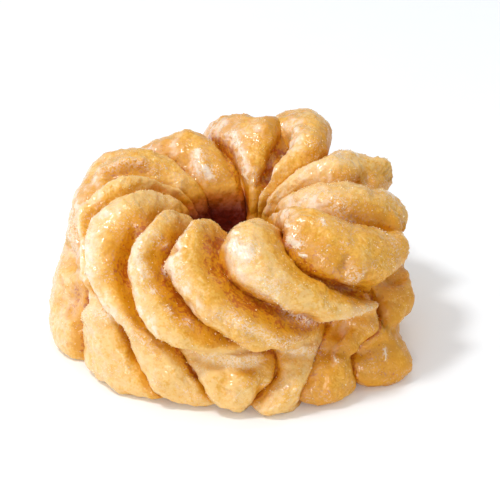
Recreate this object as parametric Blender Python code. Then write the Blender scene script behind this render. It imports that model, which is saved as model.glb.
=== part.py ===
"""A glazed cruller: one ring of choux dough, piped as twelve ridges.

Each ridge starts in the hole, swirls over the crown, overhangs the side at a lip and carries on
below it to the foot. The ring stands on a flat sole, centred on the origin, and +Z is up.
"""

import math

import bmesh
import bpy
import numpy as np

MM = 0.001
PART_NAME = "cruller"

# Stations along a ridge, in order round the section. The section closes from the inner foot to the hole.
STATIONS = ("hole", "rim", "crown", "shoulder", "bulge", "lip", "waist", "low", "foot", "sole", "inner_foot")
STATION_COUNT = len(STATIONS)

# The section along the top of a ridge and along the bottom of a groove, as (radius, height) in mm.
CREST_MM = (
    (8.0, 19.0),
    (11.0, 32.5),
    (24.0, 40.0),
    (34.5, 35.0),
    (39.0, 27.0),
    (40.0, 20.0),
    (38.0, 16.0),
    (41.5, 9.0),
    (39.5, 1.0),
    (26.0, 0.0),
    (12.5, 3.0),
)
GROOVE_MM = (
    (10.0, 19.0),
    (14.5, 30.0),
    (24.5, 34.0),
    (30.0, 30.0),
    (33.0, 25.0),
    (34.0, 20.5),
    (34.0, 15.5),
    (36.5, 9.0),
    (35.5, 2.0),
    (26.0, 1.5),
    (14.0, 4.5),
)

# The groove before each ridge: its angle in degrees from +X, anticlockwise, from the hole to the foot.
GROOVE_ANGLES = (
    (30, 37, 31, 45, 53, 57, 58, 52, 54),
    (40, 51, 58, 76, 84, 88, 89, 86, 88),
    (56, 76, 96, 103, 109, 117, 122, 124, 128),
    (112, 124, 131, 139, 147, 154, 162, 170, 177),
    (142, 150, 172, 183, 196, 203, 206, 207, 208),
    (164, 162, 190, 195, 208, 221, 230, 236, 247),
    (195, 202, 225, 226, 232, 241, 249, 258, 267),
    (233, 242, 244, 243, 254, 271, 286, 286, 277),
    (272, 275, 265, 269, 283, 302, 311, 297, 294),
    (322, 318, 299, 299, 310, 325, 332, 315, 316),
    (345, 335, 324, 338, 349, 357, 359, 343, 341),
    (372, 378, 362, 367, 373, 379, 381, 367, 369),
)
RIDGE_COUNT = len(GROOVE_ANGLES)

# How far each ridge's crest stands proud of the section, in mm, from the rim to the foot.
CREST_LIFTS_MM = (
    (0, 2, 8.5, 5.5, 3, 1, 0, 0),
    (0, 2, 4.5, 3, 0, 1, 0, 0),
    (0, 0, 1, 0, 0, 1, 0, 0),
    (0, 0, 1.5, -0.5, -1, 1.5, 1, 2),
    (0, 0, 0, -2.5, -1.5, 1, -1, 0.5),
    (0, 0, 0, 0, 0, 2, -1, -1),
    (0, 0, 0, 0, 1.5, -2, 0, 0.5),
    (0, 0, 0, 1, 1.5, -2, 1, 2.5),
    (0, 0, 0, 1, 1.5, -1.5, 2, 2.5),
    (0, 0.5, 2.5, 4.0, -0.5, 5.0, 3.0, 6.0),
    (0, 0.5, 3, 2.5, -2, 2, 0, 0),
    (0, 1, 3, 4.5, -2.5, 0, 0, 0),
)
# How much higher or lower each ridge's lip hangs, in mm, and how much of that each station takes.
LIP_RISES_MM = (2, 2, 2, 4, 2, 0, -2, -2, 1, 1, 4, 2)
LIP_RISE_SHARES = (0, 0, 0, 0, 0.3, 1, 1, 0.3, 0, 0, 0)
# Where each ridge's crest runs between its two grooves, as a share of the way across.
CREST_PLACES = (0.5, 0.5, 0.42, 0.33, 0.40, 0.34, 0.38, 0.38, 0.45, 0.56, 0.58, 0.54)
ROUND_POWER = 0.5
# How each ridge rises from its first groove and falls to its second: 0.5 is round, and more is a longer,
# hollower slope.
RISE_POWERS = (0.5, 0.5, 0.5, 0.5, 0.5, 0.5, 0.5, 0.5, 0.5, 0.7, 0.8, 0.7)
FALL_POWERS = (0.5, 0.5, 0.6, 0.7, 0.9, 1.7, 1.6, 1.3, 0.7, 0.45, 0.45, 0.5)
# How far each station takes those places and slopes, instead of a round ridge with its crest half way.
SLANT_SHARES = (1, 1, 1, 1, 1, 1, 0.6, 0, 0, 0, 0.5)

# Under the sole the ridges run on, so that a ridge comes back to the hole three places further round.
CLOSING_STEP = 3
VALLEY_LIFT_SHARE = 0.6
# How far the groove beside each ridge is filled in the hole, where the wall is smooth at the back left.
HOLE_FILLS = (0, 0.1, 0.85, 0.9, 0.8, 0.3, 0, 0, 0, 0, 0, 0)
HOLE_FILL_SHARES = (1, 0.5, 0, 0, 0, 0, 0, 0, 0, 0, 0.6)
# Where the groove between the two highest ridges is filled to a shallow dip: its angle and station, how far
# the filling reaches in each, and how much of the groove it takes.
DIP_PLACE = (70, 2.5)
DIP_REACH = (10, 0.5)
DIP_FILL = 0.7

COLUMNS_PER_RIDGE = 9
ROWS_PER_STATION = 4

DOUGH_COLOUR = (0.79, 0.41, 0.12, 1.0)
DOUGH_ROUGHNESS = 0.35


def clear_scene():
    for obj in list(bpy.data.objects):
        bpy.data.objects.remove(obj, do_unlink=True)


def smooth_between(before, start, end, after, share):
    """The Catmull-Rom curve from start to end."""
    straight = end - before
    bend = 2 * before - 5 * start + 4 * end - after
    twist = -before + 3 * start - 3 * end + after
    return start + 0.5 * (straight * share + bend * share**2 + twist * share**3)


def round_section(values, along):
    """A station table's value at each place along a ridge, where whole numbers are stations."""
    values = np.asarray(values, float)
    station = np.floor(along).astype(int)
    share = (along - station).reshape(along.shape + (1,) * (values.ndim - 1))
    near = [values[(station + step) % STATION_COUNT] for step in (-1, 0, 1, 2)]
    return smooth_between(*near, share)


def along_ridges(table, ridge, along, full_turn=0.0):
    """A ridge table's value, following each ridge on past the sole to where it comes back to the hole."""
    station = np.floor(along).astype(int)

    def at(step):
        laps, place = np.divmod(station + step, STATION_COUNT)
        turns, row = np.divmod(ridge + CLOSING_STEP * laps, RIDGE_COUNT)
        return table[row, place] + full_turn * turns

    return smooth_between(at(-1), at(0), at(1), at(2), along - station)


def groove_table():
    """The groove angles at every station: under the sole they turn evenly until the grooves meet the hole."""
    angles = np.zeros((RIDGE_COUNT, STATION_COUNT))
    stated = len(GROOVE_ANGLES[0])
    angles[:, :stated] = GROOVE_ANGLES
    hidden = STATION_COUNT - stated
    for ridge in range(RIDGE_COUNT):
        turns, row = divmod(ridge + CLOSING_STEP, RIDGE_COUNT)
        foot = angles[ridge, stated - 1]
        hole = angles[row, 0] + 360 * turns
        for step in range(1, hidden + 1):
            angles[ridge, stated - 1 + step] = foot + (hole - foot) * step / (hidden + 1)
    return angles


def lift_table():
    lifts = np.zeros((RIDGE_COUNT, STATION_COUNT))
    lifts[:, 1 : 1 + len(CREST_LIFTS_MM[0])] = CREST_LIFTS_MM
    return lifts


def shared_with_neighbour(value_of, ridge, before_crest):
    """A ridge's own value on its crest, and the value that it shares with its neighbour in the groove."""
    own = value_of(ridge)
    neighbour = np.where(before_crest, value_of(ridge - 1), value_of(ridge + 1))
    return own, (own + neighbour) / 2


def ridge_surface(columns_per_ridge, rows_per_station):
    """The ring's surface as a grid of points in mm: a column runs along a ridge, a row across them all."""
    column = np.arange(RIDGE_COUNT * columns_per_ridge)
    row = np.arange(STATION_COUNT * rows_per_station)
    ridge, along = np.meshgrid(column // columns_per_ridge, row / rows_per_station, indexing="ij")
    even = (column % columns_per_ridge) / columns_per_ridge
    # The columns crowd towards the grooves, where the surface turns fastest.
    across = (0.5 - 0.5 * np.cos(np.pi * even))[:, None] + 0 * along

    angles = groove_table()
    start = along_ridges(angles, ridge, along, 360.0)
    end = along_ridges(angles, ridge + 1, along, 360.0)
    degrees = start + across * (end - start)
    angle = np.radians(degrees)

    crest = round_section(CREST_MM, along)
    groove = round_section(GROOVE_MM, along)
    outward = (crest - groove) / np.linalg.norm(crest - groove, axis=-1, keepdims=True)

    slant = round_section(SLANT_SHARES, along)

    def slanted(values, plain):
        return plain + slant * (np.asarray(values)[ridge % RIDGE_COUNT] - plain)

    place = slanted(CREST_PLACES, 0.5)
    before_crest = across < place
    from_crest = np.where(before_crest, (place - across) / place, (across - place) / (1 - place))
    power = np.where(before_crest, slanted(RISE_POWERS, ROUND_POWER), slanted(FALL_POWERS, ROUND_POWER))
    arch = (1 - from_crest**2) ** power
    fills = np.outer(HOLE_FILLS, HOLE_FILL_SHARES)
    own, shared = shared_with_neighbour(lambda which: along_ridges(fills, which, along), ridge, before_crest)
    arch = arch + (1 - arch) * np.clip(own * arch + shared * (1 - arch), 0, 1)
    from_dip = ((degrees - DIP_PLACE[0]) / DIP_REACH[0]) ** 2 + ((along - DIP_PLACE[1]) / DIP_REACH[1]) ** 2
    arch = arch + (1 - arch) * DIP_FILL * np.exp(-from_dip)

    lifts = lift_table()
    own, shared = shared_with_neighbour(lambda which: along_ridges(lifts, which, along), ridge, before_crest)
    lift = own * arch + VALLEY_LIFT_SHARE * shared * (1 - arch)
    section = groove + (crest - groove) * arch[..., None] + outward * lift[..., None]

    rises = np.asarray(LIP_RISES_MM, float)
    own, shared = shared_with_neighbour(lambda which: rises[which % RIDGE_COUNT], ridge, before_crest)
    rise = (own * arch + shared * (1 - arch)) * round_section(LIP_RISE_SHARES, along)

    radius = section[..., 0]
    height = np.maximum(section[..., 1] + rise, 0)
    return np.stack((radius * np.cos(angle), radius * np.sin(angle), height), axis=-1)


def centred(points):
    """The points moved sideways, so that the middle of their box is over the origin."""
    middle = (points.min(axis=(0, 1)) + points.max(axis=(0, 1))) / 2
    middle[2] = 0
    return points - middle


def dough_material():
    material = bpy.data.materials.new("glazed_choux")
    material.use_nodes = True
    shader = material.node_tree.nodes["Principled BSDF"]
    shader.inputs["Base Color"].default_value = DOUGH_COLOUR
    shader.inputs["Roughness"].default_value = DOUGH_ROUGHNESS
    shader.inputs["Metallic"].default_value = 0.0
    return material


def loft_mesh(name, points, closing_columns):
    """A closed skin over a grid of points, whose last row joins the first one closing_columns further on."""
    columns, rows = points.shape[:2]
    mesh = bpy.data.meshes.new(name)
    shape = bmesh.new()
    corners = [[shape.verts.new(point) for point in column] for column in points]
    for column in range(columns):
        beside = (column + 1) % columns
        for row in range(rows):
            if row + 1 < rows:
                ahead, ahead_beside = corners[column][row + 1], corners[beside][row + 1]
            else:
                ahead = corners[(column + closing_columns) % columns][0]
                ahead_beside = corners[(beside + closing_columns) % columns][0]
            shape.faces.new((corners[column][row], corners[beside][row], ahead_beside, ahead))
    bmesh.ops.recalc_face_normals(shape, faces=shape.faces)
    shape.to_mesh(mesh)
    shape.free()
    return mesh


def make_cruller(collection):
    points = centred(ridge_surface(COLUMNS_PER_RIDGE, ROWS_PER_STATION)) * MM
    mesh = loft_mesh(PART_NAME, points, CLOSING_STEP * COLUMNS_PER_RIDGE)
    mesh.materials.append(dough_material())
    mesh.shade_smooth()
    mesh.set_sharp_from_angle(angle=math.radians(60))
    cruller = bpy.data.objects.new(PART_NAME, mesh)
    collection.objects.link(cruller)
    return cruller


def main():
    clear_scene()
    collection = bpy.data.collections.new("glazed_cruller")
    bpy.context.scene.collection.children.link(collection)
    make_cruller(collection)


main()
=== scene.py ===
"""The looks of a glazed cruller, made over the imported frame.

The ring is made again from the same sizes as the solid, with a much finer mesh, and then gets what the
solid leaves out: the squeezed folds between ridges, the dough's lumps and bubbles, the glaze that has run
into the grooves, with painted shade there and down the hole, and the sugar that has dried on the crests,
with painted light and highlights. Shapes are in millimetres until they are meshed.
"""

import itertools
import math

import bpy
import numpy as np
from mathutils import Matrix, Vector


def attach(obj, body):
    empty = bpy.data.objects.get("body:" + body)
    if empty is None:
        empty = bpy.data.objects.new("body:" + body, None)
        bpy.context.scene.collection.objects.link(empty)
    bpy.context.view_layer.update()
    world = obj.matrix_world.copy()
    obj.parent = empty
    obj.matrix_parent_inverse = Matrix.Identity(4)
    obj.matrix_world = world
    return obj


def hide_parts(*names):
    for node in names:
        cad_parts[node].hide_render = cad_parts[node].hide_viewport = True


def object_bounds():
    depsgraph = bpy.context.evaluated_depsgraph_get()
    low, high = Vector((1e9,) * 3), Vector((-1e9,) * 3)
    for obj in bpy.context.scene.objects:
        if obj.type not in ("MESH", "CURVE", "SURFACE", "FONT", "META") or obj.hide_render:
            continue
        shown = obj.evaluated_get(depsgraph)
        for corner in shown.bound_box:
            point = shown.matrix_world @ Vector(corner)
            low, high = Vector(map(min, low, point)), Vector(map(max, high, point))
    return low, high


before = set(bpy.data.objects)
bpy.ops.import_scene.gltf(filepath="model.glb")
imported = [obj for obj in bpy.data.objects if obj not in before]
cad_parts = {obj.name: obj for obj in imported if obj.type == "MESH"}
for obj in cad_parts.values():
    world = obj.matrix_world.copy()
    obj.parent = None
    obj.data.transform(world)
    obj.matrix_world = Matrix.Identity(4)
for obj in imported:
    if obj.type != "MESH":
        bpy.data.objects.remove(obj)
CAD_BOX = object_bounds()

MM = 0.001
NODE = "cruller"
# Lengths under this are taken as no length at all, where something is divided by them.
TINY = 1e-9

# -------- the ring's sizes, as the solid has them

STATIONS = ("hole", "rim", "crown", "shoulder", "bulge", "lip", "waist", "low", "foot", "sole", "inner_foot")
STATION_COUNT = len(STATIONS)

# The section along the top of a ridge and along the bottom of a groove, as (radius, height) in mm.
CREST_MM = (
    (8.0, 19.0),
    (11.0, 32.5),
    (24.0, 40.0),
    (34.5, 35.0),
    (39.0, 27.0),
    (40.0, 20.0),
    (38.0, 16.0),
    (41.5, 9.0),
    (39.5, 1.0),
    (26.0, 0.0),
    (12.5, 3.0),
)
GROOVE_MM = (
    (10.0, 19.0),
    (14.5, 30.0),
    (24.5, 34.0),
    (30.0, 30.0),
    (33.0, 25.0),
    (34.0, 20.5),
    (34.0, 15.5),
    (36.5, 9.0),
    (35.5, 2.0),
    (26.0, 1.5),
    (14.0, 4.5),
)

# The groove before each ridge: its angle in degrees from +X, anticlockwise, from the hole to the foot.
GROOVE_ANGLES = (
    (30, 37, 31, 45, 53, 57, 58, 52, 54),
    (40, 51, 58, 76, 84, 88, 89, 86, 88),
    (56, 76, 96, 103, 109, 117, 122, 124, 128),
    (112, 124, 131, 139, 147, 154, 162, 170, 177),
    (142, 150, 172, 183, 196, 203, 206, 207, 208),
    (164, 162, 190, 195, 208, 221, 230, 236, 247),
    (195, 202, 225, 226, 232, 241, 249, 258, 267),
    (233, 242, 244, 243, 254, 271, 286, 286, 277),
    (272, 275, 265, 269, 283, 302, 311, 297, 294),
    (322, 318, 299, 299, 310, 325, 332, 315, 316),
    (345, 335, 324, 338, 349, 357, 359, 343, 341),
    (372, 378, 362, 367, 373, 379, 381, 367, 369),
)
RIDGE_COUNT = len(GROOVE_ANGLES)

# How far each ridge's crest stands proud of the section, in mm, from the rim to the foot.
CREST_LIFTS_MM = (
    (0, 2, 8.5, 5.5, 3, 1, 0, 0),
    (0, 2, 4.5, 3, 0, 1, 0, 0),
    (0, 0, 1, 0, 0, 1, 0, 0),
    (0, 0, 1.5, -0.5, -1, 1.5, 1, 2),
    (0, 0, 0, -2.5, -1.5, 1, -1, 0.5),
    (0, 0, 0, 0, 0, 2, -1, -1),
    (0, 0, 0, 0, 1.5, -2, 0, 0.5),
    (0, 0, 0, 1, 1.5, -2, 1, 2.5),
    (0, 0, 0, 1, 1.5, -1.5, 2, 2.5),
    (0, 0.5, 2.5, 4.0, -0.5, 5.0, 3.0, 6.0),
    (0, 0.5, 3, 2.5, -2, 2, 0, 0),
    (0, 1, 3, 4.5, -2.5, 0, 0, 0),
)
# How much higher or lower each ridge's lip hangs, in mm, and how much of that each station takes.
LIP_RISES_MM = (2, 2, 2, 4, 2, 0, -2, -2, 1, 1, 4, 2)
LIP_RISE_SHARES = (0, 0, 0, 0, 0.3, 1, 1, 0.3, 0, 0, 0)
# Where each ridge's crest runs between its two grooves, as a share of the way across.
CREST_PLACES = (0.5, 0.5, 0.42, 0.33, 0.40, 0.34, 0.38, 0.38, 0.45, 0.56, 0.58, 0.54)
ROUND_POWER = 0.5
# How each ridge rises from its first groove and falls to its second: 0.5 is round, and more is a longer,
# hollower slope.
RISE_POWERS = (0.5, 0.5, 0.5, 0.5, 0.5, 0.5, 0.5, 0.5, 0.5, 0.7, 0.8, 0.7)
FALL_POWERS = (0.5, 0.5, 0.6, 0.7, 0.9, 1.7, 1.6, 1.3, 0.7, 0.45, 0.45, 0.5)
# How far each station takes those places and slopes, instead of a round ridge with its crest half way.
SLANT_SHARES = (1, 1, 1, 1, 1, 1, 0.6, 0, 0, 0, 0.5)

# Under the sole the ridges run on, so that a ridge comes back to the hole three places further round.
CLOSING_STEP = 3
# How much of its crests' lift a groove takes.
VALLEY_LIFT_SHARE = 0.6
# How far the groove beside each ridge is filled in the hole, where the wall is smooth at the back left.
HOLE_FILLS = (0, 0.1, 0.85, 0.9, 0.8, 0.3, 0, 0, 0, 0, 0, 0)
HOLE_FILL_SHARES = (1, 0.5, 0, 0, 0, 0, 0, 0, 0, 0, 0.6)
# Where the groove between the two highest ridges is filled to a shallow dip: its angle and station, how far
# the filling reaches in each, and how much of the groove it takes.
DIP_PLACE = (70, 2.5)
DIP_REACH = (10, 0.5)
DIP_FILL = 0.7

# -------- the fine mesh

COLUMNS_PER_RIDGE = 40
# Rows from each station to the next: close together wherever the ring can be seen from above.
ROWS_PER_SPAN = (26, 30, 25, 21, 17, 14, 18, 18, 12, 10, 14)

# -------- folds, creases and swells

# Every stroke follows places on the ring, each an angle in degrees and a station. Its height and width are
# in mm. It has this many samples from place to place, smoothed this many times, and acts within this many
# widths.
STROKE_STEPS = 8
STROKE_SMOOTHING = 3
STROKE_REACH = 3
# The shares of a stroke's way in which it grows from nothing at its start and dies away at its end.
STROKE_START = (-0.05, 0.25)
STROKE_END = (1.05, 0.75)


def stroke(height, width, *path, edge=0.0, syrup_and_shade=0.0, frost_and_glint=0.0, gloss=0.0):
    """A fold (height above 0) or a crease (below 0). Edge lifts its left side, seen from outside, and sinks
    its right. Its last three numbers give in turn how much syrup and painted shade, dried sugar and painted
    white glint, and wet glaze it carries."""
    return dict(height=height, width=width, path=path, edge=edge, syrup_and_shade=syrup_and_shade, frost_and_glint=frost_and_glint, gloss=gloss)


# In the strokes, the syrup that darkens a crease, a pit or a tuck is partly painted shade, and the white
# frost on a wet streak or glint is a painted highlight.
BACK_STROKES = (
    # The notch between the two highest ridges, and the knuckle beside it.
    stroke(-2.8, 2.2, (60, 2.3), (59, 2.1), (58, 1.9), (56, 1.6), (52, 1.3), (47, 1.0), syrup_and_shade=0.9),
    stroke(-0.8, 2.4, (101, 2.6), (97, 2.1), (93, 1.7), (88, 1.35), (83, 1.0), syrup_and_shade=0.85),
    stroke(1.6, 3.0, (72, 2.6), (70, 2.2), (68, 1.8)),
    stroke(0.4, 4.0, (91, 2.75), (98, 2.8)),
    # The fold along the wide ridge at the left, the hollow under it and its outer corner.
    stroke(1.3, 1.4, (168, 2.85), (164, 2.6), (160, 2.3), (156, 2.0), (152, 1.6), frost_and_glint=0.5),
    stroke(-1.4, 1.8, (170, 2.65), (166, 2.3), (160, 1.95), (154, 1.65), syrup_and_shade=0.9),
    stroke(0.8, 4.0, (150, 3.2), (152, 2.9), (153, 2.7), frost_and_glint=0.3),
    # Glaze down the ridges beside the hole, whitened with painted highlights.
    stroke(0.5, 2.0, (92, 2.2), (89, 1.92), (86, 1.7), (81, 1.5), (77, 1.3), gloss=1.0, frost_and_glint=0.35),
    stroke(0.3, 1.6, (68, 1.35), (62, 1.2), (56, 1.1), gloss=1.0, frost_and_glint=0.4),
    stroke(0.5, 2.4, (113, 1.8), (114, 1.6), (115, 1.4), (113, 1.2), (112, 1.0), gloss=1.0, frost_and_glint=0.4),
    stroke(0.3, 1.8, (142, 1.45), (147, 1.3), (152, 1.15), gloss=1.0, frost_and_glint=0.3),
    stroke(0.3, 2.4, (56, 2.3), (50, 2.15), (42, 2.0), gloss=0.7, frost_and_glint=0.3),
)
RIGHT_STROKES = (
    # A pit and a blunt corner on the ridge at the far right.
    stroke(-1.6, 1.8, (5, 2.6), (8, 2.7), (11, 2.8), syrup_and_shade=0.5),
    stroke(2.8, 3.2, (21, 3.4), (27, 3.4)),
    # The pinched tip of the ridge under it.
    stroke(2.6, 2.6, (356, 3.6), (0, 3.75), (4, 3.85)),
    stroke(-2.0, 2.0, (350, 2.75), (355, 3.0), (0, 3.1), syrup_and_shade=0.3),
    stroke(-1.6, 2.4, (351, 3.85), (353, 4.0), syrup_and_shade=0.3),
    # Frost along the inner slopes of the two.
    stroke(0.4, 3.0, (349, 1.4), (342, 1.75), (335, 2.2), (337, 2.6), frost_and_glint=0.5),
    stroke(0.3, 2.6, (22, 1.5), (16, 1.95), (18, 2.5), frost_and_glint=0.35),
    # The crisp top edge of the broad ridge, its wet streaks, whitened as painted highlights, and the pinched
    # crease along its foot.
    stroke(0.7, 0.9, (330, 2.3), (336, 2.75), (338, 3.1), (335, 3.5), (335, 3.85), frost_and_glint=0.6),
    stroke(0.5, 1.6, (304, 1.8), (302, 2.2), (302, 2.65), gloss=1.0, frost_and_glint=0.3),
    stroke(-1.2, 1.4, (302, 3.4), (308, 3.8), (314, 4.2), (320, 4.7), (328, 5.4), syrup_and_shade=0.9),
    stroke(-1.1, 2.2, (311, 3.35), (314, 3.5), syrup_and_shade=0.6),
    stroke(0.8, 3.0, (312, 3.75), (318, 3.95), frost_and_glint=0.5),
    # The small ridge under it, parted from the lobe at its left.
    stroke(-2.2, 1.5, (328, 5.3), (331, 5.9), (329, 6.35), (327, 6.55), syrup_and_shade=0.7),
    stroke(-2.4, 1.8, (326, 4.95), (332, 5.0), (339, 5.15), (346, 5.3), (350, 5.35), syrup_and_shade=0.5),
    stroke(-1.6, 1.6, (327, 6.6), (331, 6.75), (336, 6.9), (343, 7.0), (350, 7.1), syrup_and_shade=0.4),
    # The knob of dough under the long ridge's end, and the creases that part it from the lobes below.
    stroke(-1.4, 1.5, (309, 7.1), (313, 7.0), (317, 7.0), (321, 6.9), (326, 6.75), syrup_and_shade=0.7),
    stroke(-1.4, 1.5, (304, 6.55), (307, 6.6), (310, 6.8), (310, 7.05), syrup_and_shade=0.8),
)
FRONT_STROKES = (
    # The long ridges end in crumbly ledges over the lower tier, with two creases under them.
    stroke(0.2, 1.8, (254, 5.7), (259, 5.95), (265, 6.15), (271, 6.3), (278, 6.35), (284, 6.3),
           edge=2.0, frost_and_glint=0.6),
    stroke(0.2, 1.6, (262, 4.0), (269, 4.1), (278, 4.5), (285, 4.9), (292, 5.2), (300, 5.6),
           edge=1.2, frost_and_glint=0.5),
    stroke(0.2, 1.6, (276, 3.4), (283, 3.75), (289, 4.2), (298, 4.9), (306, 5.4), edge=1.2, frost_and_glint=0.7),
    stroke(0.2, 1.6, (294, 4.9), (301, 5.0), (307, 5.0), (313, 5.1), (320, 5.35), (327, 5.7),
           edge=2.0, frost_and_glint=0.6),
    stroke(0.2, 1.6, (270, 4.95), (277, 5.15), (285, 5.7), (293, 6.1), (300, 6.35), (307, 6.45),
           edge=1.6, frost_and_glint=0.6),
    stroke(0.2, 1.6, (225, 4.5), (233, 5.2), (240, 6.0), (245, 6.4), edge=1.0, frost_and_glint=0.4, syrup_and_shade=0.3),
    stroke(-0.9, 1.4, (282, 6.5), (281, 6.9), (280, 7.3), (281, 7.7), syrup_and_shade=0.4),
    stroke(-1.3, 1.6, (271, 6.6), (267, 7.0), (270, 7.5), syrup_and_shade=0.4),
    # The short white fold, the bridge of glaze beside it and the pit before the next ridge.
    stroke(0.5, 0.9, (231, 2.7), (234, 2.55), (238, 2.48), (241, 2.5), frost_and_glint=0.5),
    stroke(0.4, 1.2, (241, 3.1), (246, 3.05), frost_and_glint=0.8, gloss=0.8),
    stroke(-1.2, 1.4, (246, 2.65), (248, 2.8), syrup_and_shade=0.8),
    # Wet glints along the same ridge, painted white as highlights.
    stroke(0.3, 0.8, (241, 3.65), (244, 3.85), gloss=1.0, frost_and_glint=0.6),
    stroke(0.3, 0.8, (247, 4.0), (251, 4.3), gloss=1.0, frost_and_glint=0.7),
    stroke(0.3, 1.0, (254, 4.4), (257, 4.55), gloss=1.0, frost_and_glint=0.6),
    # The deep amber gap beside the third ridge from the left.
    stroke(-2.4, 2.0, (219, 2.2), (221, 2.5), (222, 2.8), (224, 3.25), (228, 3.75), (234, 4.2), syrup_and_shade=1.0),
    # Crystals on the ridge that faces the front, in two patches.
    stroke(0.3, 4.0, (268, 2.35), (274, 2.6), (281, 2.9), frost_and_glint=0.9, gloss=1.0),
    stroke(0.2, 3.5, (277, 3.1), (283, 3.5), (289, 3.8), frost_and_glint=0.5, gloss=0.6),
    # A dark pit over the lower lobes, and the amber slopes at their left.
    stroke(-1.6, 1.8, (311, 6.15), (312, 6.4), syrup_and_shade=0.9),
    stroke(-0.3, 2.0, (305, 6.5), (303, 6.75), (300, 7.0), (298, 7.4), (298, 7.8), syrup_and_shade=0.8, gloss=0.9),
    stroke(-0.3, 2.0, (328, 6.6), (324, 7.0), (322, 7.3), (321, 7.7), syrup_and_shade=0.8, gloss=0.9),
    stroke(-0.3, 2.4, (275, 6.45), (279, 6.75), syrup_and_shade=0.8, gloss=0.6),
)
LEFT_STROKES = (
    # A crease up across the lowest lobe at the far left.
    stroke(-1.2, 1.5, (190, 7.05), (194, 6.85), (198, 6.6), (201, 6.4), (204, 6.2), syrup_and_shade=0.4),
    # The recess in the foot between the two lobes at the left.
    stroke(-1.2, 2.4, (210, 7.2), (215, 7.4), (220, 7.4)),
    # Where the lowest lobe at the left tucks in under the ridge above it, round a pocket of syrup and
    # painted shade.
    stroke(-0.5, 1.6, (191, 5.75), (196, 5.6), (202, 5.4), (208, 5.2), (216, 4.8), (223, 4.45),
           edge=1.4, syrup_and_shade=0.6),
    stroke(-1.2, 1.3, (191, 6.3), (192, 6.5), (194, 6.6), syrup_and_shade=0.5),
    stroke(-1.2, 2.6, (204, 6.4), (209, 5.9), (213, 5.3), syrup_and_shade=0.8, gloss=0.6),
    stroke(-1.2, 1.4, (213, 4.7), (218, 5.0), syrup_and_shade=0.5),
    stroke(-1.2, 2.6, (198, 6.0), (200, 6.35), (201, 6.7), (203, 7.0), syrup_and_shade=1.0, gloss=0.6),
    # The frosted fold and the swell beside the pocket, and the crease past them.
    stroke(1.0, 1.8, (205, 6.7), (212, 6.4), (220, 6.0), (226, 5.9), frost_and_glint=0.7),
    stroke(0.4, 3.0, (218, 6.5), (224, 6.7), (229, 7.1)),
    stroke(-1.5, 1.6, (227, 5.1), (230, 6.2), (234, 6.7), (237, 7.0), syrup_and_shade=0.6),
    # The nick where the far left flank meets the lobe under it.
    stroke(-2.8, 2.2, (180, 5.5), (185, 5.65), (190, 5.75), (195, 5.8), syrup_and_shade=0.3),
    # White glaze down the far left flanks, partly dried sugar and partly painted light on the lit side.
    stroke(0.3, 2.6, (178, 3.4), (182, 3.8), (187, 4.2), (192, 4.7), frost_and_glint=0.7),
    stroke(0.3, 2.6, (204, 2.8), (208, 3.2), (213, 3.7), (219, 4.25), frost_and_glint=0.7, gloss=0.4),
    stroke(0.3, 2.0, (250, 2.9), (251, 3.2), (255, 3.55), frost_and_glint=0.6, gloss=0.6),
)


def highlight_streak(width, *path):
    """A narrow run of white, wet glaze: a painted highlight."""
    return stroke(0.3, width, *path, gloss=1.0, frost_and_glint=1.0)


# Painted highlights: narrow white runs where the wet glaze glints.
HIGHLIGHT_STREAKS = (
    highlight_streak(1.3, (113, 1.75), (114, 1.62), (116, 1.53), (115, 1.43)),
    highlight_streak(1.5, (114, 1.40), (113, 1.25), (110, 1.10)),
    highlight_streak(0.6, (120, 1.58), (119, 1.42), (120, 1.22)),
    stroke(0.2, 1.2, (117, 1.12), (119, 0.92), gloss=1.0, frost_and_glint=0.8),
    highlight_streak(1.2, (90, 2.08), (85, 1.79), (82, 1.62)),
    highlight_streak(0.7, (80, 1.54), (75, 1.38)),
    highlight_streak(0.6, (81, 1.28), (74, 1.20), (68, 1.10)),
    highlight_streak(0.7, (308, 1.68), (303, 2.0), (302, 2.28)),
    highlight_streak(1.3, (299, 2.20), (300, 2.48), (302, 2.70)),
    highlight_streak(0.5, (300, 2.75), (301, 2.84), (303, 2.88)),
    highlight_streak(0.8, (314, 2.42), (312, 2.62)),
    highlight_streak(0.8, (27, 0.65), (23, 0.88)),
    highlight_streak(0.45, (306, 6.60), (305, 6.72), (305, 6.88)),
    highlight_streak(0.45, (324, 6.95), (323, 7.1), (322, 7.3)),
    stroke(0.3, 1.6, (229, 2.5), (232, 2.9), (236, 3.3), (240, 3.6), gloss=0.8, frost_and_glint=0.75),
)
STROKES = BACK_STROKES + RIGHT_STROKES + FRONT_STROKES + LEFT_STROKES + HIGHLIGHT_STREAKS

# Rounded swells of dough: the place as an angle and a station, the reach and the push outwards in mm.
SWELLS = (
    (343, 6.5, 4.5, 1.4),
    (323, 6.2, 5.0, 5.0),
    (6, 6.0, 4.0, 2.0),
    (326, 5.1, 3.5, 2.0),
    (329, 7.5, 4.5, 2.6),
    (313, 7.8, 3.5, 1.5),
    (244, 7.8, 4.0, 1.5),
)

# -------- lumps and crumbs

# Rounded lumps of dough: each layer's height and size in mm, and its seed.
LUMPS = ((0.55, 6.5, 11), (0.40, 3.2, 12))
# Crumbs of crust: height and size in mm, layers, seed, and the share of them in the grooves.
CRUMB_MM = 0.30
CRUMB_SIZE_MM = 1.8
CRUMB_LAYERS = 2
CRUMB_SEED = 23
CRUMB_IN_GROOVES = 0.4
# Grains under the frost: their height and size in mm, and their seed.
GRAIN_MM = 0.5
GRAIN_SIZE_MM = 1.4
GRAIN_SEED = 31

# Smooth noise: the cells before it repeats, its strength, and how much weaker each finer layer is.
LATTICE = 24
NOISE_GAIN = 1.6
LAYER_WEAKENING = 1.8

# -------- where syrup, sugar and crust lie, and where shade and light are painted

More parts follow.
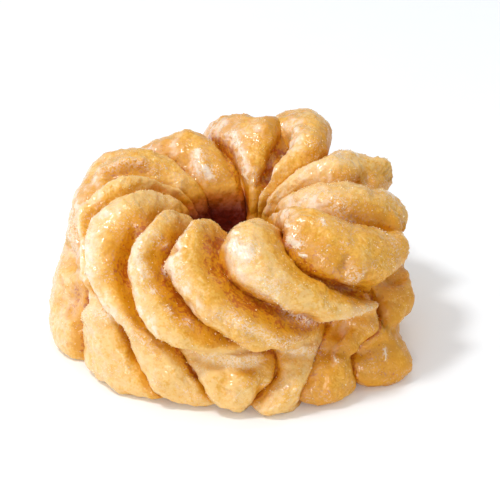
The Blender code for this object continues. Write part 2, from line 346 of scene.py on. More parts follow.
# The arches between which a crest begins, the syrup and painted shade of a hollow end, and the darkening
# sets in: 0 is a groove, 1 a crest.
CREST_ARCH = (0.2, 0.8)
HOLLOW_ARCH = (0.75, 0.15)
DARKENING_ARCH = (0.0, 0.5)
# Syrup and painted shade in the hollows: as deep as a stroke's own, or this deep, and then deeper by this.
HOLLOW_SYRUP_AND_SHADE = 0.85
HOLLOW_EXTRA = 0.25
# How amber syrup and painted shade make the slope to each ridge's first groove, and the one to its second.
FIRST_SLOPE_SYRUP_AND_SHADE = (0.45, 0.4, 0.3, 0.1, 0, 0, 0, 0, 0, 0.5, 0.7, 0.6)
SECOND_SLOPE_SYRUP_AND_SHADE = (0.2, 0.3, 0.4, 0.4, 0.6, 1.0, 0.95, 0.9, 0.5, 0.1, 0, 0)
# How far down the slopes, as shares of the way from the crest, and at which stations it starts and ends.
FIRST_SLOPE = (-0.25, -0.75)
SECOND_SLOPE = (0.20, 0.65)
SLOPE_STARTS = (1.4, 2.2)
SLOPE_ENDS = (6.0, 5.2)
# Syrup and painted shade darken past this only in the hollows: above the lip, and below it. In a hollow it
# may be this deep.
AMBER_LIMITS = (1.05, 0.75)
HOLLOW_LIMIT = 1.1
# The stations between which the upper tier gives way to the lower one, and the lower one to the sole.
LOWER_TIER_STARTS = (5.0, 6.0)
LOWER_TIER_ENDS = (10.5, 9.5)
# How much darker or paler than the others each ridge is coloured, above its lip and below it.
UPPER_DARKENING = (0.15, 0.40, 0.35, 0.20, -0.15, -0.15, -0.10, 0.20, 0.0, 0.25, 0.05, -0.05)
LOWER_DARKENING = (0.2, 0.2, 0.2, 0.0, -0.05, -0.10, -0.15, -0.10, 0.40, 0.55, 0.4, 0.3)
# The white film lies on crests that face this way, towards the light, as squarely as this, and is thinner
# low down: it is partly dried sugar and partly painted light and sheen.
FILM_AND_SHEEN_SIDE = (-0.92, -0.28, 0.28)
FILM_AND_SHEEN_FACING = (0.42, 0.95)
FILM_AND_SHEEN_THINNING = 0.6
FILM_AND_SHEEN_THINS = (5.2, 6.2)
# The glaze is dry where the ring faces this way, as squarely as this.
DRY_SIDE = (0.85, -0.10, -0.50)
DRY_FACING = (0.0, 0.6)
# The hole is painted dark, as shade, below these heights and inside these radii, in mm. From +X to these
# angles it has only this share of its painted shade.
HOLE_HEIGHTS_MM = (36.0, 24.0)
HOLE_RADII_MM = (18.0, 12.0)
HOLE_PALE_ANGLES = (50, 72)
HOLE_PALE_SHARE = 0.35
# The surface is smoothed this many times before its normals decide where the film and the dryness lie.
NORMAL_SMOOTHING = 2

# Loose patches of sugar: two noises' sizes in mm and seeds, the share of the second, and a patch's edge.
PATCH_SIZES_MM = (6.0, 2.5)
PATCH_SEEDS = (41, 42)
PATCH_SECOND_SHARE = 0.6
PATCH_EDGE = (0.10, 0.45)
# Crystals lie above these heights in mm, and outside these shares of the hole.
SUGAR_HEIGHTS_MM = (1.0, 6.0)
SUGAR_HOLE = (0.25, 0.0)
# Each kind's number, sizes in mm and seed, and how likely it is everywhere, in the patches and on frost.
SUGAR_KINDS = {
    "fine_sugar": {"count": 9000, "sizes": (0.16, 0.30), "seed": 51, "likely": (0.04, 0.8, 2.5)},
    "coarse_sugar": {"count": 900, "sizes": (0.34, 0.56), "seed": 52, "likely": (0.02, 0.2, 3.0)},
}
# How unequal a crystal's widths are, how far from its grid point it may lie, and how far it stands out.
CRYSTAL_STRETCH = (0.6, 1.2)
CRYSTAL_JITTER_MM = 0.12
CRYSTAL_RAISE = 0.05

# -------- colours

CREAM = (0.88, 0.55, 0.18, 1)
GOLDEN = (0.82, 0.42, 0.050, 1)
AMBER = (0.72, 0.31, 0.008, 1)
BROWN = (0.50, 0.12, 0.003, 1)
# The deepest painted shade, down the hole.
DARK_SHADE = (0.16, 0.012, 0.003, 1)
WHITE_SUGAR_AND_HIGHLIGHT = (0.96, 0.82, 0.68, 1)
# The glaze is cream, and takes each further colour between two depths of syrup and painted shade.
SYRUP_AND_SHADE_COLOURS = ((-0.20, 0.20, GOLDEN), (0.15, 0.55, AMBER), (0.85, 1.25, BROWN))
# The same down the hole, as painted shade, between two shares of its darkness.
HOLE_SHADE_COLOURS = ((0.0, 0.35, AMBER), (0.25, 0.6, BROWN), (0.5, 0.95, DARK_SHADE))
# The noises in the dough: each one's size in mm, detail and roughness, and how far it changes the depth.
DOUGH_NOISES = {
    "patches": (7.0, 3.0, 0.6, 1.0),
    "blotches": (2.4, 3.0, 0.65, 0.6),
    "grain": (1.0, 1.0, 0.5, 0.9),
    "fine": (0.5, 1.0, 0.5, 0.6),
}
# The crust and its coat: the light goes about 1 mm into it, and red goes farthest.
DOUGH_FINISH = {
    "Specular IOR Level": 0.35,
    "Subsurface Weight": 0.15,
    "Subsurface Radius": (1.0, 0.40, 0.10),
    "Subsurface Scale": 1.0 * MM,
    "Coat Roughness": 0.06,
}
SUGAR_TINTS = ((0.97, 0.84, 0.60, 1), (0.97, 0.68, 0.32, 1))
SUGAR_TINT_MM = 1.5
SUGAR_FINISH = {"Specular IOR Level": 0.6}
FLOOR_TINTS = ((0.90, 0.925, 0.95, 1), (0.91, 0.935, 0.96, 1))
FLOOR_TINT_MM = 8.0
# The floor glows a little, as paper that is lit from below does.
FLOOR_FINISH = {
    "Roughness": 0.9,
    "Specular IOR Level": 0.1,
    "Emission Color": (1, 1, 1, 1),
    "Emission Strength": 0.10,
}

# -------- camera and light

CAMERA_ELEVATION = math.radians(28)
CAMERA_DISTANCE = 0.5
CAMERA_AIM = Vector((0.0005, -0.0002, 0.020))
CAMERA_LENS_MM = 154.8
CAMERA_SENSOR_MM = 36.0
CAMERA_SHIFT = (0.036, 0.004)
CAMERA_NEAR = 0.01

# Where the studio is brightest, its brightness opposite that and there, and how squarely a direction faces
# that side where it is so dim or so bright.
WORLD_BRIGHT_SIDE = Vector((-0.7, -0.2, 0.65))
WORLD_STRENGTHS = (0.48, 0.68)
WORLD_FACING = (-0.6, 0.9)
WORLD_COLOUR = (0.97, 0.985, 1.0, 1)

# Each soft box: its place and its side in metres, and its watts.
LIGHTS = {
    "key": ((-0.27, -0.10, 0.60), 0.10, 1.8),
    "overhead": ((0.02, 0.10, 0.60), 0.06, 0.3),
    "front_fill": ((-0.10, -0.60, 0.14), 0.14, 0.6),
    "left_fill": ((-1.00, 0.20, 0.36), 0.50, 1.4),
}
FLOOR_HALF_WIDTH = 3.0

# -------- the ring's surface


def smooth_between(before, start, end, after, share):
    """The Catmull-Rom curve from start to end."""
    straight = end - before
    bend = 2 * before - 5 * start + 4 * end - after
    twist = -before + 3 * start - 3 * end + after
    return start + 0.5 * (straight * share + bend * share**2 + twist * share**3)


def round_section(values, along):
    """A station table's value at each place along a ridge, where whole numbers are stations."""
    values = np.asarray(values, float)
    station = np.floor(along).astype(int)
    share = (along - station).reshape(along.shape + (1,) * (values.ndim - 1))
    near = [values[(station + step) % STATION_COUNT] for step in (-1, 0, 1, 2)]
    return smooth_between(*near, share)


def along_ridges(table, ridge, along, full_turn=0.0):
    """A ridge table's value, following each ridge on past the sole to where it comes back to the hole."""
    station = np.floor(along).astype(int)

    def at(step):
        laps, place = np.divmod(station + step, STATION_COUNT)
        turns, row = np.divmod(ridge + CLOSING_STEP * laps, RIDGE_COUNT)
        return table[row, place] + full_turn * turns

    return smooth_between(at(-1), at(0), at(1), at(2), along - station)


def groove_table():
    """The groove angles at every station: under the sole they turn evenly until the grooves meet the hole."""
    angles = np.zeros((RIDGE_COUNT, STATION_COUNT))
    stated = len(GROOVE_ANGLES[0])
    angles[:, :stated] = GROOVE_ANGLES
    hidden = STATION_COUNT - stated
    for ridge in range(RIDGE_COUNT):
        turns, row = divmod(ridge + CLOSING_STEP, RIDGE_COUNT)
        foot = angles[ridge, stated - 1]
        hole = angles[row, 0] + 360 * turns
        for step in range(1, hidden + 1):
            angles[ridge, stated - 1 + step] = foot + (hole - foot) * step / (hidden + 1)
    return angles


def lift_table():
    """The crest lifts at every station: none in the hole and none under the sole."""
    lifts = np.zeros((RIDGE_COUNT, STATION_COUNT))
    lifts[:, 1 : 1 + len(CREST_LIFTS_MM[0])] = CREST_LIFTS_MM
    return lifts


def shared_with_neighbour(value_of, ridge, before_crest):
    """A ridge's own value on its crest, and the value that it shares with its neighbour in the groove."""
    own = value_of(ridge)
    neighbour = np.where(before_crest, value_of(ridge - 1), value_of(ridge + 1))
    return own, (own + neighbour) / 2


def station_rows():
    """Where each row of the mesh lies along a ridge, in stations."""
    rows = []
    for station, count in enumerate(ROWS_PER_SPAN):
        rows += [station + step / count for step in range(count)]
    return np.array(rows)


def ridge_surface():
    """The ring's surface as a grid of points, and each point's ridge, station, angle, arch and side.

    Its arch is 1 on the crest and 0 in the groove. Its side runs from -1 in the ridge's first groove to 1 in
    its second.
    """
    column = np.arange(RIDGE_COUNT * COLUMNS_PER_RIDGE)
    ridge, along = np.meshgrid(column // COLUMNS_PER_RIDGE, station_rows(), indexing="ij")
    even = (column % COLUMNS_PER_RIDGE) / COLUMNS_PER_RIDGE
    # The columns crowd towards the grooves, where the surface turns fastest.
    across = (0.5 - 0.5 * np.cos(np.pi * even))[:, None] + 0 * along

    angles = groove_table()
    start = along_ridges(angles, ridge, along, 360.0)
    end = along_ridges(angles, ridge + 1, along, 360.0)
    degrees = start + across * (end - start)
    angle = np.radians(degrees)

    crest = round_section(CREST_MM, along)
    groove = round_section(GROOVE_MM, along)
    outward = (crest - groove) / np.linalg.norm(crest - groove, axis=-1, keepdims=True)

    slant = round_section(SLANT_SHARES, along)

    def slanted(values, plain):
        return plain + slant * (np.asarray(values)[ridge % RIDGE_COUNT] - plain)

    place = slanted(CREST_PLACES, 0.5)
    before_crest = across < place
    from_crest = np.where(before_crest, (place - across) / place, (across - place) / (1 - place))
    power = np.where(before_crest, slanted(RISE_POWERS, ROUND_POWER), slanted(FALL_POWERS, ROUND_POWER))
    arch = (1 - from_crest**2) ** power
    fills = np.outer(HOLE_FILLS, HOLE_FILL_SHARES)
    own, shared = shared_with_neighbour(lambda which: along_ridges(fills, which, along), ridge, before_crest)
    arch = arch + (1 - arch) * np.clip(own * arch + shared * (1 - arch), 0, 1)
    turned = (degrees - DIP_PLACE[0]) / DIP_REACH[0]
    run = (along - DIP_PLACE[1]) / DIP_REACH[1]
    arch = arch + (1 - arch) * DIP_FILL * np.exp(-(turned**2 + run**2))

    lifts = lift_table()
    own, shared = shared_with_neighbour(lambda which: along_ridges(lifts, which, along), ridge, before_crest)
    lift = own * arch + VALLEY_LIFT_SHARE * shared * (1 - arch)
    section = groove + (crest - groove) * arch[..., None] + outward * lift[..., None]

    rises = np.asarray(LIP_RISES_MM, float)
    own, shared = shared_with_neighbour(lambda which: rises[which % RIDGE_COUNT], ridge, before_crest)
    rise = (own * arch + shared * (1 - arch)) * round_section(LIP_RISE_SHARES, along)

    radius = section[..., 0]
    height = np.maximum(section[..., 1] + rise, 0)
    points = np.stack((radius * np.cos(angle), radius * np.sin(angle), height), axis=-1)
    signed = np.where(before_crest, -from_crest, from_crest)
    return points, {"ridge": ridge, "along": along, "degrees": degrees, "arch": arch, "side": signed}


# -------- noise


def lattice_noise(points, size, seed):
    """Smooth noise from about -1 to 1, whose bumps are about this size."""
    rng = np.random.default_rng(seed)
    gradients = rng.normal(size=(LATTICE, LATTICE, LATTICE, 3))
    gradients /= np.linalg.norm(gradients, axis=-1, keepdims=True)
    place = points / size
    cell = np.floor(place).astype(int)
    share = place - cell
    fade = share**3 * (share * (share * 6 - 15) + 10)
    total = np.zeros(points.shape[:-1])
    for corner in itertools.product((0, 1), repeat=3):
        index = (cell + corner) % LATTICE
        gradient = gradients[index[..., 0], index[..., 1], index[..., 2]]
        weight = np.prod(np.where(corner, fade, 1 - fade), axis=-1)
        total += weight * ((share - corner) * gradient).sum(axis=-1)
    return total * NOISE_GAIN


def layered_noise(points, size, layers, seed):
    """Noise with finer, weaker bumps added on top of the coarse ones."""
    total = np.zeros(points.shape[:-1])
    for layer in range(layers):
        total += lattice_noise(points, size / 2**layer, seed + layer) / LAYER_WEAKENING**layer
    return total


def smooth_step(low, high, value):
    """0 up to low and 1 from high on, with a soft start and end. Low may be the larger: then it falls."""
    share = np.clip((value - low) / (high - low), 0, 1)
    return share * share * (3 - 2 * share)


# -------- the grid as a surface


def beside(grid, step):
    """The value one column over: the ring is closed."""
    return np.roll(grid, -step, axis=0)


def ahead(grid):
    """The value one row on. After the last row comes the first one of the ridge CLOSING_STEP on."""
    first = np.roll(grid[:, :1], -CLOSING_STEP * COLUMNS_PER_RIDGE, axis=0)
    return np.concatenate((grid[:, 1:], first), axis=1)


def behind(grid):
    """The value one row back."""
    last = np.roll(grid[:, -1:], CLOSING_STEP * COLUMNS_PER_RIDGE, axis=0)
    return np.concatenate((last, grid[:, :-1]), axis=1)


def grid_normals(points):
    """The outward normal at each point of the grid."""
    across = beside(points, 1) - beside(points, -1)
    along = ahead(points) - behind(points)
    normals = np.cross(along, across)
    length = np.linalg.norm(normals, axis=-1, keepdims=True)
    return normals / np.maximum(length, TINY)


def smoothed(grid, rounds):
    """A value evened out with its four neighbours."""
    for _ in range(rounds):
        grid = grid / 2 + (beside(grid, 1) + beside(grid, -1) + ahead(grid) + behind(grid)) / 8
    return grid


# -------- sculpting


def place_on(points, where, angle, station):
    """The grid point nearest to an angle and a station."""
    row = np.abs(where["along"][0] - station).argmin()
    away = (where["degrees"][:, row] - angle + 180) % 360 - 180
    column = np.abs(away).argmin()
    return column, row


def stroke_samples(points, normals, where, path):
    """Points along a stroke's path, the direction to its left at each, and the share of the way at each."""
    path = np.array(path, float)
    padded = np.concatenate((path[:1], path, path[-1:]))
    columns_rows = []
    for part in range(len(path) - 1):
        for share in np.arange(0, 1, 1 / STROKE_STEPS):
            angle, station = smooth_between(*padded[part : part + 4], share)
            columns_rows.append(place_on(points, where, angle, station))
    columns_rows.append(place_on(points, where, *path[-1]))
    columns, rows = np.array(columns_rows).T
    samples = points[columns, rows]
    for _ in range(STROKE_SMOOTHING):
        samples[1:-1] = samples[1:-1] / 2 + (samples[2:] + samples[:-2]) / 4
    sideways = np.cross(normals[columns, rows], np.gradient(samples, axis=0))
    sideways /= np.maximum(np.linalg.norm(sideways, axis=1, keepdims=True), TINY)
    return samples, sideways, np.linspace(0, 1, len(samples))


def sculpt(points, normals, where, strokes):
    """How far the strokes lift each point along its normal, and what each stroke leaves on it."""
    lift = np.zeros(points.shape[:2])
    left = {name: np.zeros(points.shape[:2]) for name in ("syrup_and_shade", "frost_and_glint", "gloss")}
    for one in strokes:
        samples, sideways, share = stroke_samples(points, normals, where, one["path"])
        taper = smooth_step(*STROKE_START, share) * smooth_step(*STROKE_END, share)
        reach = STROKE_REACH * one["width"]
        low, high = samples.min(axis=0) - reach, samples.max(axis=0) + reach
        near = ((points > low) & (points < high)).all(axis=-1)
        gap = points[near][:, None] - samples[None]
        distance = np.linalg.norm(gap, axis=-1)
        nearest = distance.argmin(axis=1)
        each = np.arange(len(nearest))
        distance = distance[each, nearest] / one["width"]
        side = (gap[each, nearest] * sideways[nearest]).sum(axis=-1) / one["width"]
        weight = np.exp(-(distance**2)) * taper[nearest]
        lift[near] += one["height"] * weight + one["edge"] * side * weight
        for name, grid in left.items():
            grid[near] = np.maximum(grid[near], one[name] * weight)
    return lift, left


def swollen(points, where):
    """The points pushed straight out from the ring's axis round the middle of each swell."""
    pushed = points.copy()
    for angle, station, reach, push in SWELLS:
        column, row = place_on(points, where, angle, station)
        distance = np.linalg.norm(points - points[column, row], axis=-1) / reach
        outward = np.array([math.cos(math.radians(angle)), math.sin(math.radians(angle)), 0.0])
        pushed += outward * (push * np.exp(-(distance**2)))[..., None]
    return pushed


# -------- mesh


def grid_mesh(name, points, attributes):
    """A closed mesh over the grid, in metres, with one float attribute for each named grid."""
    columns, rows = points.shape[:2]
    index = np.arange(columns * rows).reshape(columns, rows)
    corners = (index, beside(index, 1), ahead(beside(index, 1)), ahead(index))
    faces = np.stack(corners, axis=-1).reshape(-1, 4)
    mesh = bpy.data.meshes.new(name)
    mesh.from_pydata((points.reshape(-1, 3) * MM).tolist(), [], faces.tolist())
    for key, grid in attributes.items():
        layer = mesh.attributes.new(key, "FLOAT", "POINT")
        layer.data.foreach_set("value", grid.reshape(-1).astype(np.float32))
    mesh.validate()
    mesh.shade_smooth()
    return mesh


def placed(name, data):
    """A new object in the scene for a mesh, a light or a camera."""
    thing = bpy.data.objects.new(name, data)
    bpy.context.scene.collection.objects.link(thing)
    return thing


def facing(normals, direction):
    """How squarely each point faces a direction, from -1 to 1."""
    direction = np.array(direction, float)
    return normals @ (direction / np.linalg.norm(direction))


def fitted_to_solid(points):
    """The points centred over the solid and, if they would stand out of its box, shrunk into it."""
    low, high = points.min(axis=(0, 1)), points.max(axis=(0, 1))
    cad_low, cad_high = np.array(CAD_BOX[0]) / MM, np.array(CAD_BOX[1]) / MM
    scale = min(((cad_high - cad_low) / (high - low)).min(), 1.0)
    middle, cad_middle = (low + high) / 2, (cad_low + cad_high) / 2
    middle[2], cad_middle[2] = low[2], cad_low[2]
    return (points - middle) * scale + cad_middle


def lower_tier(where):
    """1 on the lower tier, and 0 above the lip and on the sole."""
    return smooth_step(*LOWER_TIER_STARTS, where["along"]) * smooth_step(*LOWER_TIER_ENDS, where["along"])


def syrup_and_shade_slopes(where):
    """How much syrup and painted shade lie on each ridge's slopes, from the crown to the lip."""
    ridge = where["ridge"] % RIDGE_COUNT
    first = np.asarray(FIRST_SLOPE_SYRUP_AND_SHADE)[ridge] * smooth_step(*FIRST_SLOPE, where["side"])
    second = np.asarray(SECOND_SLOPE_SYRUP_AND_SHADE)[ridge] * smooth_step(*SECOND_SLOPE, where["side"])
    along = where["along"]
    return (first + second) * smooth_step(*SLOPE_STARTS, along) * smooth_step(*SLOPE_ENDS, along)


def ridge_darkening(where):
    """How much darker or paler than the others each ridge is coloured."""
    ridge = where["ridge"] % RIDGE_COUNT
    upper, lower = (np.asarray(values)[ridge] for values in (UPPER_DARKENING, LOWER_DARKENING))
    return (upper + (lower - upper) * lower_tier(where)) * smooth_step(*DARKENING_ARCH, where["arch"])


def syrup_and_shade_depth(where, syrup_and_shade):
    """How deep the syrup, the painted shade and the darkening are: 0 is pale glaze, and 1 is brown."""
    hollow = smooth_step(*HOLLOW_ARCH, where["arch"])
    depth = np.maximum(hollow * HOLLOW_SYRUP_AND_SHADE, syrup_and_shade) + HOLLOW_EXTRA * hollow
    depth = np.maximum(depth, syrup_and_shade_slopes(where)) + ridge_darkening(where)
    upper, lower = AMBER_LIMITS
    limit = upper + (lower - upper) * smooth_step(*LOWER_TIER_STARTS, where["along"])
    return np.minimum(depth, np.maximum(np.maximum(HOLLOW_LIMIT * hollow, syrup_and_shade), limit))


def film_and_sheen_share(normals, where):
    """How much of the white film lies at each point: partly dried sugar, and partly painted light and sheen
    on the side that faces the light.
    """
    film_and_sheen = smooth_step(*FILM_AND_SHEEN_FACING, facing(normals, FILM_AND_SHEEN_SIDE)) * smooth_step(*CREST_ARCH, where["arch"])
    return film_and_sheen * (1 - FILM_AND_SHEEN_THINNING * smooth_step(*FILM_AND_SHEEN_THINS, where["along"]))


def hole_shade(points, where):
    """How deep in the hole each point is, from 0 to 1, and so how much painted shade it gets."""
    radius = np.linalg.norm(points[..., :2], axis=-1)
    hole = smooth_step(*HOLE_HEIGHTS_MM, points[..., 2]) * smooth_step(*HOLE_RADII_MM, radius)
    dark = smooth_step(*HOLE_PALE_ANGLES, where["degrees"] % 360)
    return hole * (HOLE_PALE_SHARE + (1 - HOLE_PALE_SHARE) * dark)


def bumps(points, where, frost_and_glint):
    """The heights in mm of the lumps of dough, the crumbs of crust and the grains under the frost."""
    crest = smooth_step(*CREST_ARCH, where["arch"])
    lumps = sum(height * lattice_noise(points, size, seed) for height, size, seed in LUMPS)
    crumbs = CRUMB_MM * layered_noise(points, CRUMB_SIZE_MM, CRUMB_LAYERS, CRUMB_SEED)
    crumbs = crumbs * (CRUMB_IN_GROOVES + (1 - CRUMB_IN_GROOVES) * crest)
    grains = GRAIN_MM * frost_and_glint * lattice_noise(points, GRAIN_SIZE_MM, GRAIN_SEED)
    return lumps + crumbs + grains


def make_dough():
    """The dough, its grid of points, and the grids that its material and its sugar follow."""
    points, where = ridge_surface()
    points = swollen(points, where)
    normals = grid_normals(points)
    lift, left = sculpt(points, normals, where, STROKES)
    points = points + normals * (lift + bumps(points, where, left["frost_and_glint"]))[..., None]
    points[..., 2] = np.maximum(points[..., 2], 0)
    points = fitted_to_solid(points)

    normals = grid_normals(smoothed(points, NORMAL_SMOOTHING))
    attributes = {
        "groove": syrup_and_shade_depth(where, left["syrup_and_shade"]),
        "film_and_sheen": film_and_sheen_share(normals, where),
        "hole": hole_shade(points, where),
        "dry": smooth_step(*DRY_FACING, facing(normals, DRY_SIDE)),
        "frost_and_glint": left["frost_and_glint"],
        "gloss": left["gloss"],
    }
    mesh = grid_mesh("dough", points, attributes)
    mesh.materials.append(dough_material())
    return placed("dough", mesh), points, attributes


def crystal_shape():
    """A rough octahedron of size 1: its corners and its faces."""
    corners = np.array([(1, 0, 0), (-1, 0, 0), (0, 1, 0), (0, -1, 0), (0, 0, 1), (0, 0, -1)], float) / 2
    faces = [(0, 2, 4), (2, 1, 4), (1, 3, 4), (3, 0, 4), (2, 0, 5), (1, 2, 5), (3, 1, 5), (0, 3, 5)]
    return corners, np.array(faces)


def make_crystals(name, points, likelihood, count, sizes, seed):
    """Crystals scattered over the grid, most where they are likeliest, as one mesh."""
    rng = np.random.default_rng(seed)
    normals = grid_normals(points)
    area = np.linalg.norm(np.cross(ahead(points) - points, beside(points, 1) - points), axis=-1)
    weight = (area * likelihood).reshape(-1)
    chosen = rng.choice(weight.size, size=count, p=weight / weight.sum())
    flat, flat_normals = points.reshape(-1, 3), normals.reshape(-1, 3)
    size = rng.uniform(*sizes, size=(count, 1, 1)) * rng.uniform(*CRYSTAL_STRETCH, size=(count, 1, 3))
    turn = np.linalg.qr(rng.normal(size=(count, 3, 3)))[0]
    corners, faces = crystal_shape()
    jitter = rng.uniform(-CRYSTAL_JITTER_MM, CRYSTAL_JITTER_MM, size=(count, 1, 3))
    places = flat[chosen][:, None] + jitter + flat_normals[chosen][:, None] * size.mean() * CRYSTAL_RAISE
    corners_each = len(corners)
    corners = np.einsum("kij,kcj->kci", turn, corners[None] * size) + places
    low, high = np.array(CAD_BOX[0]) / MM, np.array(CAD_BOX[1]) / MM
    corners = corners[((corners > low) & (corners < high)).all(axis=(1, 2))]
    faces = faces[None] + np.arange(len(corners))[:, None, None] * corners_each
    mesh = bpy.data.meshes.new(name)
    mesh.from_pydata((corners.reshape(-1, 3) * MM).tolist(), [], faces.reshape(-1, 3).tolist())
    mesh.validate()
    mesh.materials.append(sugar_material())
    return placed(name, mesh)


def make_sugar(points, attributes):
    """Fine crystals in loose patches all over, and coarser crumbs along the frosted rims."""
    first, second = (lattice_noise(points, size, seed) for size, seed in zip(PATCH_SIZES_MM, PATCH_SEEDS))
    patchy = smooth_step(*PATCH_EDGE, first + PATCH_SECOND_SHARE * second)
    crest = 1 - np.clip(attributes["groove"], 0, 1)
    seen = smooth_step(*SUGAR_HEIGHTS_MM, points[..., 2]) * smooth_step(*SUGAR_HOLE, attributes["hole"])
    pieces = []
    for name, kind in SUGAR_KINDS.items():
        everywhere, on_patches, on_frost = kind["likely"]
        likelihood = (everywhere + on_patches * patchy * crest + on_frost * attributes["frost_and_glint"] ** 2) * seen
        pieces.append(make_crystals(name, points, likelihood, kind["count"], kind["sizes"], kind["seed"]))
    return pieces


# -------- materials


# The colour sockets of a Mix node, whose other sockets have the same names.
MIX_FIRST_COLOUR = 6
MIX_SECOND_COLOUR = 7
MIX_COLOUR = 2

# Each ramp goes from one value of a noise or a grid to another. If it has four numbers, the last two are
# what it gives there, instead of 0 and 1. First those of the dried sugar and the painted light: its film,
# partly painted sheen, its rims, partly painted highlights, and its specks.
FILM_AND_SHEEN_BLOTCHES = (0.40, 0.60, 0.20, 0.85)
RIM_FINE = (0.44, 0.56)
RIM_FROST_AND_GLINT = (0.55, 0.85)
SPECK_PATCHES = (0.48, 0.60, 0.0, 0.4)
SPECK_FINE = (0.56, 0.64)
SPECK_GROOVE = (1.0, 0.4)
# Those of the wet glaze, and of the roughness of the crust and the sugar.
WET_PATCHES = (0.46, 0.56, 0.5, 1.0)
WET_DRY = (0.0, 1.0, 1.0, 0.1)
WET_HOLE = (0.6, 0.1)
CRUST_ROUGHNESS = (0.3, 0.7, 0.30, 0.50)
SUGAR_ROUGHNESS = (0.3, 0.7, 0.15, 0.35)
SUGAR_TINT_RAMP = (0.35, 0.65)
FLOOR_TINT_RAMP = (0.3, 0.7)

# The bumps of the crust and of the glaze over it, in mm, and the noises' shares in them.
BUMP_STRENGTH = 0.7
CRUST_BUMP_MM = 0.30
GLAZE_BUMP_MM = 0.4
CRUST_BUMPS = {"grain": 1.0, "blotches": 0.8, "fine": 0.2}
GLAZE_BUMPS = {"blotches": 1.0, "grain": 0.3}


class Nodes:
    """A short way to add and join a material's nodes."""

    def __init__(self, name):
        self.material = bpy.data.materials.new(name)
        self.material.use_nodes = True
        self.tree = self.material.node_tree
        self.shader = self.tree.nodes["Principled BSDF"]

    def add(self, kind, inputs=None, **settings):
        """A new node with these inputs and settings."""
        node = self.tree.nodes.new(kind)
        for key, value in settings.items():
            setattr(node, key, value)
        self.put(inputs or {}, node)
        return node

    def put(self, inputs, node):
        """Each of these inputs of a node gets its number, or a link from its socket."""
        for key, value in inputs.items():
            if isinstance(value, bpy.types.NodeSocket):
                self.tree.links.new(value, node.inputs[key])
            else:
                node.inputs[key].default_value = value

    def attribute(self, name):
        """One of the mesh's grids."""
        return self.add("ShaderNodeAttribute", attribute_name=name).outputs["Fac"]

    def noise(self, size_mm, detail=2.0, roughness=0.5):
        """Noise from 0 to 1 whose bumps are about this size."""
        numbers = {"Scale": 1 / (size_mm * MM), "Detail": detail, "Roughness": roughness}
        return self.add("ShaderNodeTexNoise", {"Vector": self.place(), **numbers}).outputs["Fac"]

    def place(self):
        """The place on the object, from one node that every noise shares."""
        if not hasattr(self, "coordinates"):
            self.coordinates = self.add("ShaderNodeTexCoord").outputs["Object"]
        return self.coordinates

    def math(self, operation, first, second):
        return self.add("ShaderNodeMath", {0: first, 1: second}, operation=operation).outputs[0]

    def ramp(self, value, low, high, to_low=0.0, to_high=1.0):
        """The value from low to high spread smoothly over another range."""
        inputs = {"Value": value, "From Min": low, "From Max": high, "To Min": to_low, "To Max": to_high}
        return self.add("ShaderNodeMapRange", inputs, interpolation_type="SMOOTHSTEP").outputs["Result"]

    def mix(self, share, first, second):
        """The first colour where the share is 0, and the second where it is 1."""
        inputs = {"Factor": share, MIX_FIRST_COLOUR: first, MIX_SECOND_COLOUR: second}
        return self.add("ShaderNodeMix", inputs, data_type="RGBA").outputs[MIX_COLOUR]


def syrup_and_shade_colour(make, depth, noises):
    """The glaze and crust: cream, and then deeper colours where there is more syrup, painted shade
    and darkening.
    """
    for name, noise in noises.items():
        change = DOUGH_NOISES[name][-1]
        depth = make.math("ADD", depth, make.math("MULTIPLY", make.math("SUBTRACT", noise, 0.5), change))
    colour = CREAM
    for low, high, deeper in SYRUP_AND_SHADE_COLOURS:
        colour = make.mix(make.ramp(depth, low, high), colour, deeper)
    return colour


def sugar_and_highlight_share(make, grids, noises):
    """Dried sugar and painted light: a thin film where the ring faces left, partly painted sheen, thick rims,
    partly painted highlights, and specks in loose patches.
    """
    film_and_sheen = make.math("MULTIPLY", grids["film_and_sheen"], make.ramp(noises["blotches"], *FILM_AND_SHEEN_BLOTCHES))
    solid = make.math("MAXIMUM", make.ramp(noises["fine"], *RIM_FINE), make.ramp(grids["frost_and_glint"], *RIM_FROST_AND_GLINT))
    rims_and_glints = make.math("MULTIPLY", grids["frost_and_glint"], solid)
    patches = make.ramp(noises["patches"], *SPECK_PATCHES)
    specks = make.math("MULTIPLY", patches, make.ramp(noises["fine"], *SPECK_FINE))
    specks = make.math("MULTIPLY", specks, make.ramp(grids["groove"], *SPECK_GROOVE))
    return make.math("MAXIMUM", make.math("MAXIMUM", film_and_sheen, rims_and_glints), specks)


def wetness(make, grids, noises):
    """How thick the wet glaze is: in loose patches, less where the ring is dry, and none down the hole."""
    wet = make.math("MAXIMUM", grids["gloss"], make.ramp(noises["patches"], *WET_PATCHES))
    wet = make.math("MULTIPLY", wet, make.ramp(grids["dry"], *WET_DRY))
    return make.math("MULTIPLY", wet, make.ramp(grids["hole"], *WET_HOLE))


def bump(make, noises, shares, distance_mm):
    """The normal over bumps of this height, made of these shares of the noises."""
    height = 0.0
    for name, share in shares.items():
        height = make.math("ADD", height, make.math("MULTIPLY", noises[name], share))
    inputs = {"Height": height, "Strength": BUMP_STRENGTH, "Distance": distance_mm * MM}
    return make.add("ShaderNodeBump", inputs).outputs["Normal"]


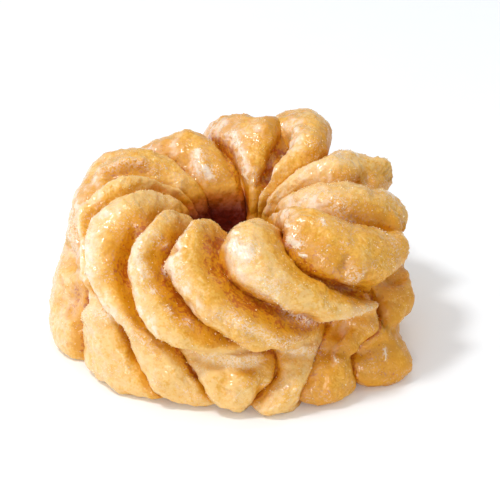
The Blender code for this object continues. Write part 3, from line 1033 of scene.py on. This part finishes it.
def dough_material():
    """Fried choux dough under glaze: the shader is the crust, and its coat is the wet glaze."""
    make = Nodes("glazed_dough")
    grids = {name: make.attribute(name) for name in ("groove", "frost_and_glint", "gloss", "film_and_sheen", "hole", "dry")}
    noises = {name: make.noise(*numbers[:3]) for name, numbers in DOUGH_NOISES.items()}

    colour = syrup_and_shade_colour(make, grids["groove"], noises)
    # White sugar, with painted sheen on the lit side and painted highlights on the white streaks.
    colour = make.mix(sugar_and_highlight_share(make, grids, noises), colour, WHITE_SUGAR_AND_HIGHLIGHT)
    # Painted shade down the hole.
    for low, high, darker in HOLE_SHADE_COLOURS:
        colour = make.mix(make.ramp(grids["hole"], low, high), colour, darker)

    inputs = {
        "Base Color": colour,
        "Roughness": make.ramp(noises["grain"], *CRUST_ROUGHNESS),
        "Coat Weight": wetness(make, grids, noises),
        "Normal": bump(make, noises, CRUST_BUMPS, CRUST_BUMP_MM),
        "Coat Normal": bump(make, noises, GLAZE_BUMPS, GLAZE_BUMP_MM),
    }
    make.put(inputs | DOUGH_FINISH, make.shader)
    return make.material


def sugar_material():
    """White to honey-coloured crystals."""
    make = Nodes("dried_sugar")
    tint = make.noise(SUGAR_TINT_MM)
    colour = make.mix(make.ramp(tint, *SUGAR_TINT_RAMP), *SUGAR_TINTS)
    inputs = {"Base Color": colour, "Roughness": make.ramp(tint, *SUGAR_ROUGHNESS)}
    make.put(inputs | SUGAR_FINISH, make.shader)
    return make.material


def floor_material():
    """Matt, nearly white paper."""
    make = Nodes("pale_floor")
    tint = make.ramp(make.noise(FLOOR_TINT_MM, 3.0), *FLOOR_TINT_RAMP)
    make.put({"Base Color": make.mix(tint, *FLOOR_TINTS)} | FLOOR_FINISH, make.shader)
    return make.material


# -------- the studio


def make_floor():
    half = FLOOR_HALF_WIDTH
    corners = [(-half, -half, 0), (half, -half, 0), (half, half, 0), (-half, half, 0)]
    mesh = bpy.data.meshes.new("floor")
    mesh.from_pydata(corners, [], [(0, 1, 2, 3)])
    mesh.materials.append(floor_material())
    return placed("floor", mesh)


def make_light(name, place, side, watts):
    """A square soft box that faces the ring."""
    data = bpy.data.lights.new(name, "AREA")
    data.size = side
    data.energy = watts
    light = placed(name, data)
    light.location = place
    light.rotation_euler = (CAMERA_AIM - Vector(place)).to_track_quat("-Z", "Y").to_euler()


def make_world():
    """A white studio, brightest up at the left, and dimmest low down at the right."""
    world = bpy.data.worlds.new("studio")
    world.use_nodes = True
    tree = world.node_tree
    coordinates = tree.nodes.new("ShaderNodeTexCoord")
    towards = tree.nodes.new("ShaderNodeVectorMath")
    towards.operation = "DOT_PRODUCT"
    tree.links.new(coordinates.outputs["Generated"], towards.inputs[0])
    towards.inputs[1].default_value = WORLD_BRIGHT_SIDE.normalized()
    strength = tree.nodes.new("ShaderNodeMapRange")
    tree.links.new(towards.outputs["Value"], strength.inputs["Value"])
    for key, number in zip(("From Min", "From Max", "To Min", "To Max"), WORLD_FACING + WORLD_STRENGTHS):
        strength.inputs[key].default_value = number
    background = tree.nodes["Background"]
    background.inputs["Color"].default_value = WORLD_COLOUR
    tree.links.new(strength.outputs["Result"], background.inputs["Strength"])
    bpy.context.scene.world = world


def make_camera():
    data = bpy.data.cameras.new("camera")
    data.lens = CAMERA_LENS_MM
    data.sensor_width = CAMERA_SENSOR_MM
    data.shift_x, data.shift_y = CAMERA_SHIFT
    data.clip_start = CAMERA_NEAR
    camera = placed("camera", data)
    away = Vector((0, -math.cos(CAMERA_ELEVATION), math.sin(CAMERA_ELEVATION)))
    camera.location = CAMERA_AIM + away * CAMERA_DISTANCE
    camera.rotation_euler = (-away).to_track_quat("-Z", "Y").to_euler()
    bpy.context.scene.camera = camera


def make_studio():
    make_world()
    for name, (place, side, watts) in LIGHTS.items():
        make_light(name, place, side, watts)
    bpy.context.scene.view_settings.view_transform = "Standard"
    make_floor()


def main():
    make_camera()
    dough, points, attributes = make_dough()
    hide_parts(NODE)
    for piece in [dough, *make_sugar(points, attributes)]:
        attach(piece, "root")
    make_studio()


main()
